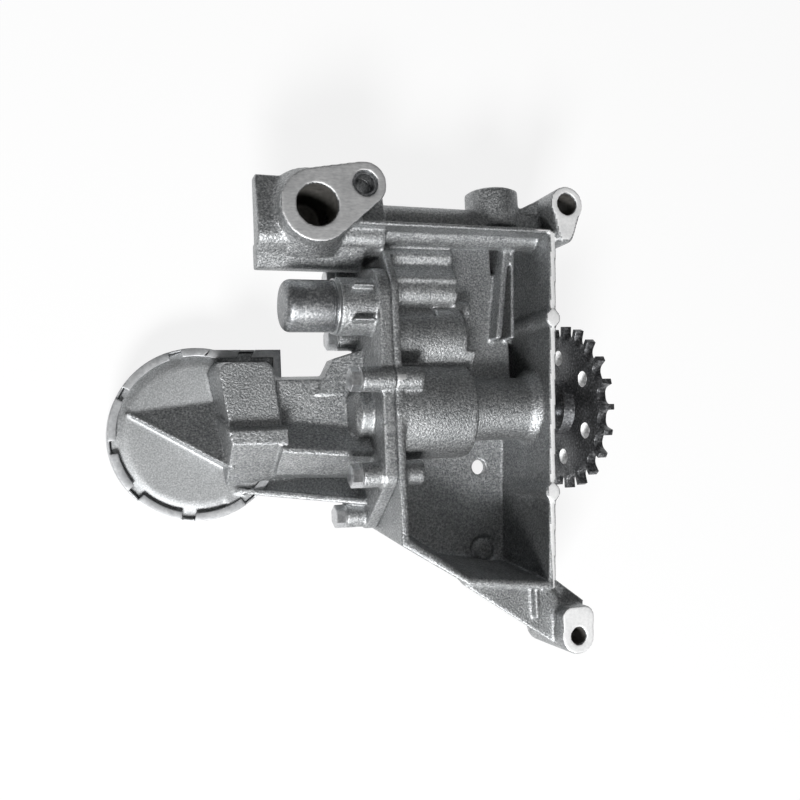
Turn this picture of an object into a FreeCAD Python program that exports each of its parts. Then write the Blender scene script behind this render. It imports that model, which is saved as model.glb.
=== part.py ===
import FreeCAD, Part
import math
import os
import re

import Sketcher

# Engine oil pump, chain driven, with a lobed rotor set and a strainer on a cast pickup arm.
# X runs along the drive shaft towards the sprocket, Z stands on the mounting plane, millimetres.
# The origin is the centre of the sprocket, on the shaft axis and in the plane of the chain.

os.makedirs("parts", exist_ok=True)
doc = FreeCAD.newDocument("oil_pump")

# Driving dimensions
sizes = {
    # levels and joint planes
    "mount_z": 21.0,
    "rim_z": 19.0,
    "floor_z": -19.0,
    "floor_thick": 3.5,
    "joint_x": -83.5,
    "joint_flange": 3.2,
    "cover_thick": 5.0,
    # clearances
    "run_gap": 0.05,
    "seat_gap": 0.02,
    "side_gap": 0.15,
    "lobe_gap": 0.12,
    "open_gap": 0.3,
    # shaft and bushes
    "shaft_radius": 6.0,
    "shaft_tail": 9.0,
    "spigot_radius": 5.0,
    "nose_bolt": 3.0,
    "nose_depth": 14.0,
    "nose_flats": 10.0,
    "bush_wall": 2.0,
    "bearing_wall": 4.8,
    "nose_washer": 1.6,
    "nose_washer_wall": 4.0,
    "dome_wall": 3.6,
    "dome_length": 5.0,
    "dome_tip": 2.5,
    # rotor set
    "rotor_width": 26.0,
    "rotor_offset": 1.5,
    "inner_lobes": 6.0,
    "lobe_circle": 13.0,
    "lobe_radius": 3.8,
    "outer_rotor_radius": 16.0,
    "case_wall": 3.2,
    "case_end": 8.0,
    "shoulder_back": 16.8,
    "shoulder_length": 21.4,
    "shoulder_y": 14.0,
    "pedestal_y": 12.0,
    "pedestal_z": -10.0,
    "pin_radius": 1.5,
    "pin_length": 18.0,
    # sprocket for a 9.525 mm pitch roller chain
    "chain_x": 0.0,
    "sprocket_teeth": 21.0,
    "chain_pitch": 9.525,
    "roller_radius": 3.2,
    "tooth_width": 4.0,
    "sprocket_hub": 11.5,
    "hub_length": 5.0,
    "window_radius": 3.2,
    "window_circle": 21.0,
    "windows": 6.0,
    "gap_phase": 84.5,
    # front wall and tray
    "wall_x": -18.2,
    "wall_skew": 0.06,
    "wall_thick": 3.2,
    "wall_high_y": 71.0,
    "tray_low_y": -73.0,
    "tray_corner_y": -51.0,
    "tray_bend_x": -57.0,
    "tray_bend_y": -68.0,
    "tray_wall": 2.8,
    "tray_draft": 5.0,
    "pad_radius": 3.4,
    "pad_proud": 0.4,
    "drain_x": -32.9,
    "drain_y": -24.2,
    "drain_radius": 3.2,
    "dimple_x": -32.4,
    "dimple_y": -60.0,
    "dimple_radius": 6.3,
    # mounting bosses
    "upper_x": -6.3,
    "upper_y": 82.2,
    "upper_hole": 4.3,
    "upper_boss": 7.3,
    "upper_lobe": 3.4,
    "lobe_drop": 12.8,
    "lower_x": -11.5,
    "lower_y": -91.8,
    "lower_hole": 3.3,
    "lower_boss": 7.2,
    "arm_rib_x": -28.0,
    "arm_rib_thick": 2.0,
    "arm_rib_drop": 11.0,
    "boss_low_z": -10.0,
    "arm_top_z": 9.0,
    # outlet block and flange
    "outlet_x": -111.4,
    "outlet_y": 76.5,
    "outlet_bore": 7.9,
    "outlet_boss": 14.0,
    "outlet_depth": 27.0,
    "outlet_run": 6.0,
    "outlet_run_z": 6.2,
    "outlet_run_length": 30.0,
    "skirt_z": 8.0,
    "skirt_spread": 4.0,
    "ear_x": -92.5,
    "ear_y": 85.6,
    "ear_radius": 8.5,
    "ear_hole": 3.5,
    "sleeve_radius": 4.8,
    "sleeve_wall": 1.0,
    "sleeve_depth": 7.0,
    "block_left": -132.5,
    "block_high_y": 90.0,
    "block_crest_y": 66.0,
    "block_slope": 5.0,
    "block_crest_z": 14.0,
    "block_plate_z": 4.0,
    # top gallery, the rim wall on it and its closed port
    "gallery_y": 74.3,
    "gallery_z": 3.5,
    "gallery_radius": 8.0,
    "rim_wall_y": 70.4,
    "rim_wall_thick": 1.8,
    "port_x": -32.0,
    "port_top_y": 89.5,
    "port_radius": 11.0,
    "port_chamfer": 1.6,
    "plug_radius": 8.5,
    "plug_depth": 7.0,
    # ribbed bank, barrel and low panel between the rotor case and the gallery
    "bank_crest_y": 52.6,
    "bank_crest_z": 9.0,
    "panel_z": -3.0,
    "panel_step_x": -23.5,
    "rib_z": 4.0,
    "barrel_radius": 13.5,
    "barrel_y": 29.0,
    "barrel_z": -2.0,
    "barrel_end": -50.0,
    "panel_end": -30.5,
    # relief valve
    "relief_y": 41.0,
    "relief_z": 7.0,
    "piston_radius": 6.0,
    "piston_length": 10.0,
    "relief_port": 4.0,
    "cap_radius": 10.0,
    "cap_length": 21.0,
    "cap_round": 3.5,
    "cap_thread": 7.6,
    "thread_length": 3.8,
    "spring_radius": 3.7,
    "spring_wire": 0.7,
    "spring_turns": 6.0,
    "relief_boss_wall": 3.6,
    "relief_boss_length": 14.0,
    "relief_drain": 2.6,
    "cap_seal": 1.2,
    "cap_floor": 4.0,
    "piston_floor": 3.0,
    # cover screws
    "screw_radius": 2.5,
    "screw_boss": 4.8,
    "flange_round": 5.6,
    "screw_grip": 8.0,
    "screw_bite": 10.0,
    "screw_head": 4.0,
    "screw_flats": 8.0,
    "head_flange": 0.8,
    "crown_screw_y": 12.0,
    "crown_screw_z": 16.5,
    "arm_screw_y": -24.0,
    "arm_screw_z": 12.5,
    "barrel_screw_y": 31.0,
    "barrel_screw_z": -14.0,
    "block_screw_drop": 6.0,
    "block_screw_z": -13.0,
    "tray_screw_y": -40.6,
    "tray_screw_z": -12.0,
    "high_pin_y": 20.0,
    "high_pin_z": -15.0,
    "low_pin_y": -10.0,
    "low_pin_z": -17.0,
    "cover_pin_radius": 1.5,
    "cover_pin_length": 8.0,
    # pickup and strainer
    "strainer_x": -152.5,
    "strainer_y": -5.5,
    "strainer_radius": 33.6,
    "corner_y": 27.3,
    "sheet_thick": 0.8,
    "plate_z": -18.5,
    "plate_thick": 4.0,
    "strainer_low_z": -34.3,
    "mouth_radius": 24.0,
    "screen_thick": 0.6,
    "tab_reach": 2.4,
    "hood_left": -148.0,
    "hood_right": -122.5,
    "hood_low_y": -17.5,
    "hood_high_y": 21.0,
    "hood_z": 0.0,
    "hood_wall": 3.0,
    "arm_y": -12.5,
    "arm_half": 12.5,
    "arm_z": -5.0,
    "arm_bore": 4.5,
    "web_thick": 3.0,
    "gusset_left": -108.6,
    "gusset_tip_x": -101.0,
    "gusset_low_y": 7.9,
    "gusset_tip_y": 22.0,
    "gusset_high_y": 26.0,
    "gusset_z": -14.0,
    "gusset_height": 10.5,
    "plate_fin_thick": 1.3,
    "plate_fin_y": 3.4,
    "plate_fin_end_y": -18.2,
    "plate_fin_drop": 6.0,
    "lower_fin_y": -28.0,
    "lower_fin_end_y": -35.4,
    "lower_fin_z": -5.0,
    "arm_low_z": -15.0,
    "arm_side_z": -8.0,
    "arm_high_z": 5.0,
}

sheet = doc.addObject("Spreadsheet::Sheet", "Sizes")
for row, (name, number) in enumerate(sizes.items(), start=1):
    sheet.set("A%d" % row, name)
    sheet.set("B%d" % row, str(number))
    sheet.setAlias("B%d" % row, name)
doc.recompute()

# How each sketch plane is turned, and the axis that its depth is counted along
planes = {
    "XY": (FreeCAD.Rotation(), "z"),
    "XZ": (FreeCAD.Rotation(FreeCAD.Vector(1, 0, 0), 90), "y"),
    "YZ": (FreeCAD.Rotation(FreeCAD.Vector(1, 1, 1), 120), "x"),
}
directions = {
    "x": FreeCAD.Vector(1, 0, 0),
    "y": FreeCAD.Vector(0, 1, 0),
    "z": FreeCAD.Vector(0, 0, 1),
}
cylinder_turns = {
    "x": FreeCAD.Rotation(FreeCAD.Vector(0, 1, 0), 90),
    "y": FreeCAD.Rotation(FreeCAD.Vector(1, 0, 0), -90),
    "z": FreeCAD.Rotation(),
}
nodes = []


def expression(text):
    """The text with each size's name pointed at its cell."""
    def cell(match):
        word = match.group()
        return "Sizes." + word if word in sizes else word
    return re.sub(r"[a-z][a-z_]+", cell, str(text))


def bind(thing, prop, text):
    thing.setExpression(prop, expression(text))


def value(text):
    return float(sheet.evalExpression(expression(text)))


def node(name, thing):
    """Names a finished sub-part."""
    thing.Label = name
    nodes.append(thing)
    return thing


# Outlines

def fix_point(sketch, index, place, u, v):
    """Ties one point of a sketch to two expressions."""
    for kind, text in (("DistanceX", u), ("DistanceY", v)):
        number = sketch.addConstraint(Sketcher.Constraint(kind, index, place, value(text)))
        name = "%s_%d" % (kind, number)
        sketch.renameConstraint(number, name)
        bind(sketch, "Constraints." + name, text)


def fix_radius(sketch, index, text):
    number = sketch.addConstraint(Sketcher.Constraint("Radius", index, value(text)))
    name = "Radius_%d" % number
    sketch.renameConstraint(number, name)
    bind(sketch, "Constraints." + name, text)


def blank_sketch(name, plane, start):
    sketch = doc.addObject("Sketcher::SketchObject", name + "_sketch")
    turn, axis = planes[plane]
    sketch.Placement = FreeCAD.Placement(FreeCAD.Vector(), turn)
    bind(sketch, "Placement.Base." + axis, start)
    return sketch


def draw_outline(sketch, corners):
    """Draws a closed outline; a corner (u, v, radius) is rounded and a corner (u, v) is sharp."""
    points = [FreeCAD.Vector(value(c[0]), value(c[1]), 0) for c in corners]
    count = len(points)
    leaving = []
    arriving = []
    centres = []
    for i, corner in enumerate(corners):
        point = points[i]
        if len(corner) == 2:
            arriving.append(point)
            leaving.append(point)
            centres.append(None)
            continue
        back = (points[i - 1] - point).normalize()
        onward = (points[(i + 1) % count] - point).normalize()
        half = back.getAngle(onward) / 2
        radius = value(corner[2])
        arriving.append(point + back * (radius / math.tan(half)))
        leaving.append(point + onward * (radius / math.tan(half)))
        centres.append(point + (back + onward).normalize() * (radius / math.sin(half)))
    lines = []
    for i in range(count):
        segment = Part.LineSegment(leaving[i], arriving[(i + 1) % count])
        lines.append(sketch.addGeometry(segment, False))
    for i, corner in enumerate(corners):
        before, after = lines[i - 1], lines[i]
        if len(corner) == 2:
            sketch.addConstraint(Sketcher.Constraint("Coincident", before, 2, after, 1))
            fix_point(sketch, after, 1, corner[0], corner[1])
            continue
        centre = centres[i]
        first = arriving[i] - centre
        last = leaving[i] - centre
        hollow = first.cross(last).z < 0
        if hollow:
            first, last = last, first
        circle = Part.Circle(centre, FreeCAD.Vector(0, 0, 1), value(corner[2]))
        arc = Part.ArcOfCircle(circle, math.atan2(first.y, first.x), math.atan2(last.y, last.x))
        bend = sketch.addGeometry(arc, False)
        sketch.addConstraint(Sketcher.Constraint("Tangent", before, 2, bend, 2 if hollow else 1))
        sketch.addConstraint(Sketcher.Constraint("Tangent", after, 1, bend, 1 if hollow else 2))
        fix_radius(sketch, bend, corner[2])
        mark = sketch.addGeometry(Part.Point(points[i]), True)
        fix_point(sketch, mark, 1, corner[0], corner[1])
        sketch.addConstraint(Sketcher.Constraint("PointOnObject", mark, 1, before))
        sketch.addConstraint(Sketcher.Constraint("PointOnObject", mark, 1, after))


def draw_hull(sketch, circles):
    """Draws the belt line around circles (u, v, radius) that are listed anticlockwise."""
    centres = [FreeCAD.Vector(value(c[0]), value(c[1]), 0) for c in circles]
    radii = [value(c[2]) for c in circles]
    count = len(circles)
    angles = []
    for i in range(count):
        step = centres[(i + 1) % count] - centres[i]
        lean = math.acos((radii[i] - radii[(i + 1) % count]) / step.Length)
        angles.append(math.atan2(step.y, step.x) - lean)
    arcs = []
    for i in range(count):
        circle = Part.Circle(centres[i], FreeCAD.Vector(0, 0, 1), radii[i])
        arcs.append(sketch.addGeometry(Part.ArcOfCircle(circle, angles[i - 1], angles[i]), False))
    for i in range(count):
        j = (i + 1) % count
        side = FreeCAD.Vector(math.cos(angles[i]), math.sin(angles[i]), 0)
        segment = Part.LineSegment(centres[i] + side * radii[i], centres[j] + side * radii[j])
        line = sketch.addGeometry(segment, False)
        sketch.addConstraint(Sketcher.Constraint("Tangent", line, 1, arcs[i], 2))
        sketch.addConstraint(Sketcher.Constraint("Tangent", line, 2, arcs[j], 1))
    for arc, circle in zip(arcs, circles):
        fix_point(sketch, arc, 3, circle[0], circle[1])
        fix_radius(sketch, arc, circle[2])


# Solids for the castings

def extrude(name, plane, length, sketch):
    solid = doc.addObject("Part::Extrusion", name)
    solid.Base = sketch
    solid.DirMode = "Custom"
    solid.Dir = directions[planes[plane][1]]
    solid.Solid = True
    bind(solid, "LengthFwd", length)
    return solid


def prism(name, plane, start, length, corners):
    sketch = blank_sketch(name, plane, start)
    draw_outline(sketch, corners)
    return extrude(name, plane, length, sketch)


def hull(name, plane, start, length, circles):
    sketch = blank_sketch(name, plane, start)
    draw_hull(sketch, circles)
    return extrude(name, plane, length, sketch)


def loft(name, plane, low, low_corners, high, high_corners):
    """A drafted block between two outlines with as many corners."""
    sketches = []
    for part, start, corners in (("_low", low, low_corners), ("_high", high, high_corners)):
        sketch = blank_sketch(name + part, plane, start)
        draw_outline(sketch, corners)
        sketches.append(sketch)
    solid = doc.addObject("Part::Loft", name)
    solid.Sections = sketches
    solid.Solid = True
    solid.Ruled = True
    return solid


def cylinder(name, axis, centre, radius, length):
    solid = doc.addObject("Part::Cylinder", name)
    solid.Placement = FreeCAD.Placement(FreeCAD.Vector(), cylinder_turns[axis])
    for letter, text in zip("xyz", centre):
        bind(solid, "Placement.Base." + letter, text)
    bind(solid, "Radius", radius)
    bind(solid, "Height", length)
    return solid


def cone(name, axis, centre, low_radius, high_radius, length):
    solid = doc.addObject("Part::Cone", name)
    solid.Placement = FreeCAD.Placement(FreeCAD.Vector(), cylinder_turns[axis])
    for letter, text in zip("xyz", centre):
        bind(solid, "Placement.Base." + letter, text)
    bind(solid, "Radius1", low_radius)
    bind(solid, "Radius2", high_radius)
    bind(solid, "Height", length)
    return solid


def box(name, low, high):
    solid = doc.addObject("Part::Box", name)
    for letter, side, a, b in zip("xyz", ("Length", "Width", "Height"), low, high):
        bind(solid, "Placement.Base." + letter, a)
        bind(solid, side, "(%s) - (%s)" % (b, a))
    return solid


def join(name, solids):
    fused = doc.addObject("Part::MultiFuse", name)
    fused.Shapes = solids
    fused.Refine = True
    return fused


def cut(name, base, tools):
    result = doc.addObject("Part::Cut", name)
    result.Base = base
    result.Tool = tools[0] if len(tools) == 1 else join(name + "_tools", tools)
    result.Refine = True
    return result


def turned(name, corners, axis_height=("0", "0")):
    """A body turned about a line along X; its outline is (x, radius) from that line."""
    body = doc.addObject("PartDesign::Body", name)
    sketch = body.newObject("Sketcher::SketchObject", name + "_profile")
    plane = [f for f in body.Origin.OriginFeatures if f.Role == "XY_Plane"][0]
    sketch.AttachmentSupport = (plane, [""])
    sketch.MapMode = "FlatFace"
    draw_outline(sketch, corners)
    doc.recompute()
    turn = body.newObject("PartDesign::Revolution", name + "_turn")
    turn.Profile = sketch
    turn.ReferenceAxis = (sketch, ["H_Axis"])
    turn.Angle = 360
    bind(body, "Placement.Base.y", axis_height[0])
    bind(body, "Placement.Base.z", axis_height[1])
    return body


# Places that several pieces share
chamber_end = "joint_x + rotor_width + 2 * side_gap"
case_radius = "outer_rotor_radius + run_gap + case_wall"
case_stop = chamber_end + " + case_end"
bush_radius = "shaft_radius + run_gap + bush_wall"
boss_radius = bush_radius + " + bearing_wall"
base_z = "floor_z - floor_thick"
cover_face = "joint_x - cover_thick"
head_seat = cover_face + " - screw_grip"
relief_seat = "joint_x - open_gap"
cap_seat = cover_face + " - relief_boss_length"
chain_radius = "chain_pitch / 2 / sin(180 / sprocket_teeth)"
tip_radius = chain_radius + " + chain_pitch * 0.25"
locating_pins = [("high_pin_y", "high_pin_z"), ("low_pin_y", "low_pin_z")]
block_low_y = "(block_crest_y - block_slope)"
block_screw_y = block_low_y + " - block_screw_drop"
screws = [
    ("crown_screw_y", "crown_screw_z"),
    ("arm_screw_y", "arm_screw_z"),
    ("barrel_screw_y", "barrel_screw_z"),
    (block_screw_y, "block_screw_z"),
    ("tray_screw_y", "tray_screw_z"),
]


def pin_cylinders(name, grow):
    """The locating pins across the cover joint, or their holes."""
    return [cylinder("%s_%d" % (name, number), "x", ("joint_x - cover_pin_length / 2 - (%s)" % grow, y, z),
                     "cover_pin_radius + (%s)" % grow, "cover_pin_length + 2 * (%s)" % grow)
            for number, (y, z) in enumerate(locating_pins)]


def wall_at(y):
    """The front wall's inner face at this height; the wall is a little out of square."""
    return "(wall_x + (%s) * wall_skew)" % y


# Housing casting

def tray_block():
    outer_high = [
        ("joint_x", "tray_corner_y"),
        ("tray_bend_x", "tray_bend_y"),
        (wall_at("tray_low_y") + " + wall_thick / 2", "tray_low_y"),
        (wall_at("0") + " + wall_thick / 2", "0"),
        ("joint_x", "0"),
    ]
    outer_low = [
        ("joint_x", "tray_corner_y + tray_draft"),
        ("tray_bend_x + 1", "tray_bend_y + tray_draft"),
        (wall_at("tray_low_y") + " + wall_thick / 2", "tray_low_y + tray_draft"),
        (wall_at("0") + " + wall_thick / 2", "0"),
        ("joint_x", "0"),
    ]
    return loft("tray_block", "XY", base_z, outer_low, "rim_z", outer_high)


def tray_hollow():
    inner_left = "joint_x + joint_flange"
    high = [
        (inner_left, "tray_corner_y + tray_wall * 0.8"),
        ("tray_bend_x + tray_wall * 0.2", "tray_bend_y + tray_wall"),
        (wall_at("tray_low_y") + " + wall_thick", "tray_low_y + tray_wall"),
        (wall_at("1") + " + wall_thick", "1"),
        (inner_left, "1"),
    ]
    low = [
        (inner_left + " + 1", "tray_corner_y + tray_draft + tray_wall * 1.2"),
        ("tray_bend_x + 2", "tray_bend_y + tray_draft + tray_wall * 1.2"),
        (wall_at("tray_low_y") + " - 1.5", "tray_low_y + tray_draft + tray_wall"),
        (wall_at("1") + " - 1.5", "1"),
        (inner_left + " + 1", "1"),
    ]
    return loft("tray_hollow", "XY", "floor_z", low, "rim_z + 1", high)


def wall_solids():
    front = prism("front_wall", "XY", base_z, "rim_z - (" + base_z + ")", [
        (wall_at("tray_low_y"), "tray_low_y"),
        (wall_at("tray_low_y") + " + wall_thick", "tray_low_y"),
        (wall_at("wall_high_y") + " + wall_thick", "wall_high_y"),
        (wall_at("wall_high_y"), "wall_high_y"),
    ])
    floor = prism("upper_floor", "XY", base_z, "floor_thick", [
        ("joint_x", "-1"),
        (wall_at("-1") + " + wall_thick / 2", "-1"),
        (wall_at("wall_high_y") + " + wall_thick / 2", "wall_high_y"),
        ("joint_x", "wall_high_y"),
    ])
    flange = prism("joint_flange_plate", "YZ", "joint_x", "joint_flange", [
        ("tray_corner_y + tray_draft", base_z),
        (block_low_y + " + 2", base_z),
        (block_low_y + " + 2", "block_crest_z - 4"),
        ("relief_y + 8", "rim_z", "4"),
        ("tray_corner_y", "rim_z"),
    ])
    pads = []
    pad_height = "rim_z + pad_proud - (" + base_z + ")"
    for number, y in enumerate(("35.5", "-34.5")):
        centre = (wall_at(y) + " + wall_thick / 2", y, base_z)
        pads.append(cylinder("wall_pad_%d" % number, "z", centre, "pad_radius", pad_height))
    return [front, floor, flange] + pads


def case_solids():
    case = cylinder("rotor_case", "x", ("joint_x", "0", "0"), case_radius, case_stop + " - joint_x")
    neck = cylinder("bearing_boss", "x", (case_stop + " - 1", "0", "0"), boss_radius,
                    wall_at("0") + " + 1 - (" + case_stop + ")")
    root = cone("bearing_root", "x", (wall_at("0") + " - 4", "0", "0"), boss_radius,
                boss_radius + " + 3", "4.2")
    pedestal = box("case_pedestal", ("joint_x", "-pedestal_y", base_z),
                   (case_stop, "pedestal_y", "pedestal_z"))
    foot = box("bearing_pedestal", (case_stop, "-4", base_z), (wall_at("0"), "4", "-6"))
    shoulder = prism("case_shoulder", "YZ", case_stop + " - shoulder_back", "shoulder_length", [
        ("shoulder_y", base_z), ("barrel_y - 3", base_z), ("barrel_y - 5", "barrel_z + 11"),
        ("barrel_y - 6", "barrel_z + 12"), ("shoulder_y", "barrel_z + 6.4"),
    ])
    return [case, neck, root, pedestal, foot, shoulder]


def bank_solids():
    bank = prism("bank", "YZ", "joint_x", "barrel_end - 1 - joint_x", [
        ("barrel_y", base_z),
        ("rim_wall_y + 1", base_z),
        ("rim_wall_y + 1", "bank_crest_z - 4"),
        ("rim_wall_y - 3.2", "bank_crest_z - 6.8"),
        ("bank_crest_y + 10", "bank_crest_z - 3.4", "1"),
        ("bank_crest_y + 6.2", "bank_crest_z - 5.8"),
        ("bank_crest_y", "bank_crest_z", "1"),
        ("bank_crest_y - 8", "bank_crest_z - 4.6"),
        ("bank_crest_y - 8.6", "bank_crest_z - 12"),
        ("barrel_y", "bank_crest_z - 12"),
    ])
    barrel = cylinder("barrel", "x", ("joint_x", "barrel_y", "barrel_z"), "barrel_radius",
                      "barrel_end + 1 - joint_x")
    nose = cylinder("barrel_nose", "x", ("barrel_end - 2", "relief_y", "relief_z - 6"), "4", "8")
    panel = box("inner_panel", ("barrel_end - 2", "4", base_z), ("panel_end", "rim_wall_y + 1", "panel_z"))
    step = box("panel_step", ("panel_end - 1", "4", base_z), ("panel_step_x", "barrel_y + 1", "panel_z"))
    floor = box("bay_floor", ("panel_end - 1", "barrel_y", base_z),
                (wall_at("barrel_y") + " + 1", "rim_wall_y + 1", "floor_z + 5"))
    return [bank, barrel, nose, panel, step, floor] + bay_ribs()


def bay_ribs():
    """Two upright ribs beside the panel; the first one leans in plan."""
    low_y = "barrel_y"
    high_y = "rim_wall_y + 0.6"
    first = prism("rib_0", "XY", base_z, "rib_z - (" + base_z + ")", [
        ("panel_end - 2.6", low_y), ("panel_end + 0.3", low_y),
        ("panel_end + 6.4", high_y), ("panel_end + 3.6", high_y),
    ])
    second = prism("rib_1", "XY", base_z, "rib_z - (" + base_z + ")", [
        ("panel_end + 4.4", low_y), ("panel_end + 6.2", low_y),
        ("panel_end + 8.4", high_y), ("panel_end + 6.8", high_y),
    ])
    return [first, second]


def gallery_solids():
    tube = cylinder("gallery", "x", ("joint_x - 10", "gallery_y", "gallery_z"), "gallery_radius",
                    wall_at("gallery_y") + " + 10 - joint_x")
    bed = box("gallery_bed", ("joint_x", "rim_wall_y + 0.5", base_z),
              (wall_at("gallery_y"), "gallery_y + gallery_radius - 1", "gallery_z"))
    ridge = prism("rim_wall", "YZ", "ear_x - 8", wall_at("gallery_y") + " + 9 - ear_x", [
        ("rim_wall_y", base_z), ("rim_wall_y + rim_wall_thick + 1", base_z),
        ("rim_wall_y + rim_wall_thick", "rim_z"), ("rim_wall_y", "rim_z"),
    ])
    port = cylinder("port_boss", "y", ("port_x", "gallery_y", "gallery_z"), "port_radius",
                    "port_top_y - gallery_y")
    port_rim = cylinder("port_rim", "y", ("port_x", "port_top_y - 1", "gallery_z"),
                        "port_radius - port_chamfer", "2")
    return [tube, bed, ridge, port, port_rim]


def outlet_solids():
    deep_left = "outlet_x - outlet_bore - case_wall"
    lip = prism("outlet_lip", "YZ", "block_left", deep_left + " + 1 - block_left", [
        (block_low_y, "block_plate_z"),
        ("block_high_y", "block_plate_z"),
        ("block_high_y", "block_crest_z - 4"),
        ("block_crest_y + 6", "block_crest_z", "8"),
        ("block_crest_y - 1", "block_crest_z", "5"),
        (block_low_y, "block_crest_z - 6", "3"),
    ])
    block = prism("outlet_block", "YZ", deep_left, "joint_x + 1 - (" + deep_left + ")", [
        (block_low_y, "floor_z"),
        ("ear_y - ear_radius", "floor_z"),
        ("ear_y - ear_radius", "boss_low_z"),
        ("block_high_y", "boss_low_z"),
        ("block_high_y", "block_crest_z - 4"),
        ("block_crest_y + 6", "block_crest_z", "8"),
        ("block_crest_y - 1", "block_crest_z", "5"),
        (block_low_y, "block_crest_z - 9", "3"),
    ])
    boss = hull("outlet_boss", "XY", "-2", "mount_z + 2", [
        ("outlet_x", "outlet_y", "outlet_boss"),
        ("ear_x", "ear_y", "ear_radius"),
    ])
    skirt = cone("outlet_skirt", "z", ("outlet_x", "outlet_y", "skirt_z"),
                 "outlet_boss + skirt_spread", "outlet_boss", "skirt_z")
    ear = cylinder("ear_boss", "z", ("ear_x", "ear_y", "boss_low_z"), "ear_radius - 1.5",
                   "10 - boss_low_z")
    return [lip, block, boss, skirt, ear]


def mounting_solids():
    upper = cylinder("upper_boss", "z", ("upper_x", "upper_y", "boss_low_z"), "upper_boss",
                     "mount_z - boss_low_z")
    lobe = cylinder("upper_lobe_pad", "z", ("upper_x - 1", "upper_y - lobe_drop", "boss_low_z"), "upper_lobe",
                    "rim_z + 1 - boss_low_z")
    upper_arm = prism("upper_arm", "XY", "boss_low_z", "arm_top_z - boss_low_z", [
        (wall_at("60") + " + wall_thick / 2", "60"),
        ("upper_x + 2.5", "upper_y - 13", "2"),
        ("upper_x + upper_boss - 0.5", "upper_y"),
        ("upper_x - 2", "upper_y + upper_boss - 0.5"),
        ("port_x + 7", "gallery_y + 6.7"),
        ("port_x + 7", "rim_wall_y + 0.6"),
        (wall_at("rim_wall_y") + " + wall_thick / 2", "rim_wall_y + 0.6"),
    ])
    lower = hull("lower_boss", "XY", "boss_low_z", "mount_z - boss_low_z", [
        ("lower_x", "lower_y", "lower_boss"),
        ("lower_x + 3.4", "lower_y + 7.6", "4"),
        ("lower_x - 2.8", "lower_y + 7.6", "4"),
    ])
    lower_arm = loft("lower_arm", "XY", "boss_low_z - 4", [
        ("tray_bend_x + 6", "tray_bend_y + 1"),
        ("lower_x - 9", "lower_y + 2"),
        ("lower_x", "lower_y + 4"),
        (wall_at("tray_low_y") + " + 2", "tray_low_y + 3"),
    ], "rim_z - 5", [
        ("tray_bend_x - 1", "tray_bend_y"),
        ("lower_x - 3", "lower_y - 6.4"),
        ("lower_x + 2", "lower_y + 4"),
        (wall_at("tray_low_y") + " + 2", "tray_low_y + 3"),
    ])
    gusset = prism("lower_gusset", "XY", "boss_low_z", "rim_z - 6 - boss_low_z", [
        (wall_at("-68") + " + 1", "-66"),
        (wall_at("-68") + " + 1", "lower_y + 6"),
        ("lower_x + 7", "lower_y + 8"),
        ("lower_x + 8", "lower_y + 12"),
    ])
    rib = box("arm_rib", ("arm_rib_x", "tray_low_y - arm_rib_drop", "0"),
              ("arm_rib_x + arm_rib_thick", "tray_low_y + 1", "rim_z - 2"))
    return [upper, lobe, upper_arm, lower, lower_arm, gusset, rib]


def screw_boss_solids():
    solids = []
    for number, (y, z) in enumerate(screws):
        solids.append(cylinder("joint_boss_%d" % number, "x", ("joint_x", y, z), "screw_boss",
                               "screw_bite + 1.5"))
    return solids


def housing_cuts():
    tools = [
        cylinder("chamber", "x", ("joint_x - 1", "rotor_offset", "0"),
                 "outer_rotor_radius + run_gap", chamber_end + " + 1 - joint_x"),
        cylinder("bush_seat", "x", (chamber_end + " - 1", "0", "0"), bush_radius + " + seat_gap",
                 wall_at("0") + " + 20 - joint_x"),
        cylinder("relief_seat_hole", "x", ("joint_x - 1", "relief_y", "relief_z"), "relief_port", "24"),
        cylinder("drain", "z", ("drain_x", "drain_y", base_z + " - 1"), "drain_radius", "floor_thick + 2"),
        cylinder("upper_bolt_hole", "z", ("upper_x", "upper_y", "boss_low_z - 1"), "upper_hole",
                 "mount_z - boss_low_z + 2"),
        cylinder("lower_bolt_hole", "z", ("lower_x", "lower_y", "boss_low_z - 6"), "lower_hole",
                 "mount_z - boss_low_z + 8"),
        cylinder("outlet_bore_cut", "z", ("outlet_x", "outlet_y", "mount_z - outlet_depth"),
                 "outlet_bore", "outlet_depth + 1"),
        cylinder("outlet_run_cut", "x", ("outlet_x", "outlet_y - 4", "mount_z - outlet_depth + outlet_run_z"),
                 "outlet_run", "outlet_run_length"),
        cylinder("ear_bolt_hole", "z", ("ear_x", "ear_y", "boss_low_z - 12"), "ear_hole", "60"),
        cylinder("ear_sleeve_seat", "z", ("ear_x", "ear_y", "mount_z - sleeve_depth"),
                 "sleeve_radius + seat_gap", "sleeve_depth + 1"),
        cylinder("plug_seat", "y", ("port_x", "port_top_y - plug_depth", "gallery_z"),
                 "plug_radius + seat_gap", "plug_depth + 4"),
        cylinder("port_bore", "y", ("port_x", "gallery_y - 1", "gallery_z"), "plug_radius - 2",
                 "port_top_y - gallery_y"),
        cut("dimple", cylinder("dimple_disc", "z", ("dimple_x", "dimple_y", "floor_z - 1.2"),
                               "dimple_radius", "3"),
            [cylinder("dimple_core", "z", ("dimple_x", "dimple_y", "floor_z - 3"),
                      "dimple_radius * 0.62", "6")]),
    ]
    for number, (y, z) in enumerate(screws):
        tools.append(cylinder("tapped_%d" % number, "x", ("joint_x - 1", y, z),
                              "screw_radius + seat_gap", "screw_bite + 1"))
    tools += pin_cylinders("housing_pin_hole", "seat_gap")
    return tools


def housing():
    shell = cut("tray_shell", tray_block(), [tray_hollow()])
    solids = [shell] + wall_solids() + case_solids() + bank_solids()
    solids += gallery_solids() + outlet_solids() + mounting_solids() + screw_boss_solids()
    casting = join("housing_casting", solids)
    return node("pump_housing", cut("pump_housing", casting, housing_cuts()))


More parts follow.
